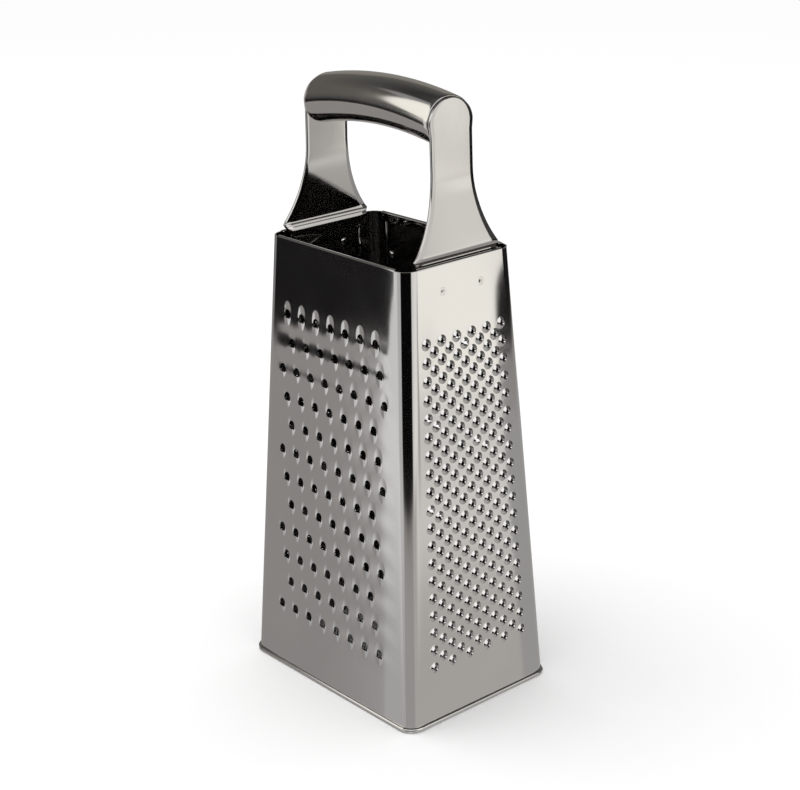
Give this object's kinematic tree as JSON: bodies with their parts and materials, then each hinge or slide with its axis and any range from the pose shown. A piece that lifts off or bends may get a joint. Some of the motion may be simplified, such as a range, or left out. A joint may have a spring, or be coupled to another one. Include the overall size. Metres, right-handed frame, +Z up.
{
  "type": "box grater",
  "caption": "Free-standing box grater in polished steel: tapered body with coarse, fine, slicing and rasp walls, hemmed mouth, crimped base rim and arched tube grip.",
  "frame": {"origin": "centre of the footprint, on the surface that the grater stands on", "axes": "+Z up, X along the grip, -Y wall coarse, +X wall fine, +Y wall slicing, -X wall rasp"},
  "size_m": [0.099, 0.0748, 0.2391],
  "materials": {
    "body_steel": "mirror polished stainless sheet",
    "rim_steel": "polished stainless strip, crimped",
    "leg_steel": "polished stainless plate",
    "grip_steel": "mirror polished stainless tube",
    "weld_steel": "electrode-pressed spot welds"
  },
  "bodies": {
    "root": {"body_sheet": "body_steel", "base_rim": "rim_steel", "right_leg": "leg_steel", "left_leg": "leg_steel", "grip_tube": "grip_steel", "right_leg_welds": "weld_steel", "left_leg_welds": "weld_steel", "seam_welds": "weld_steel"}
  },
  "joints": []
}
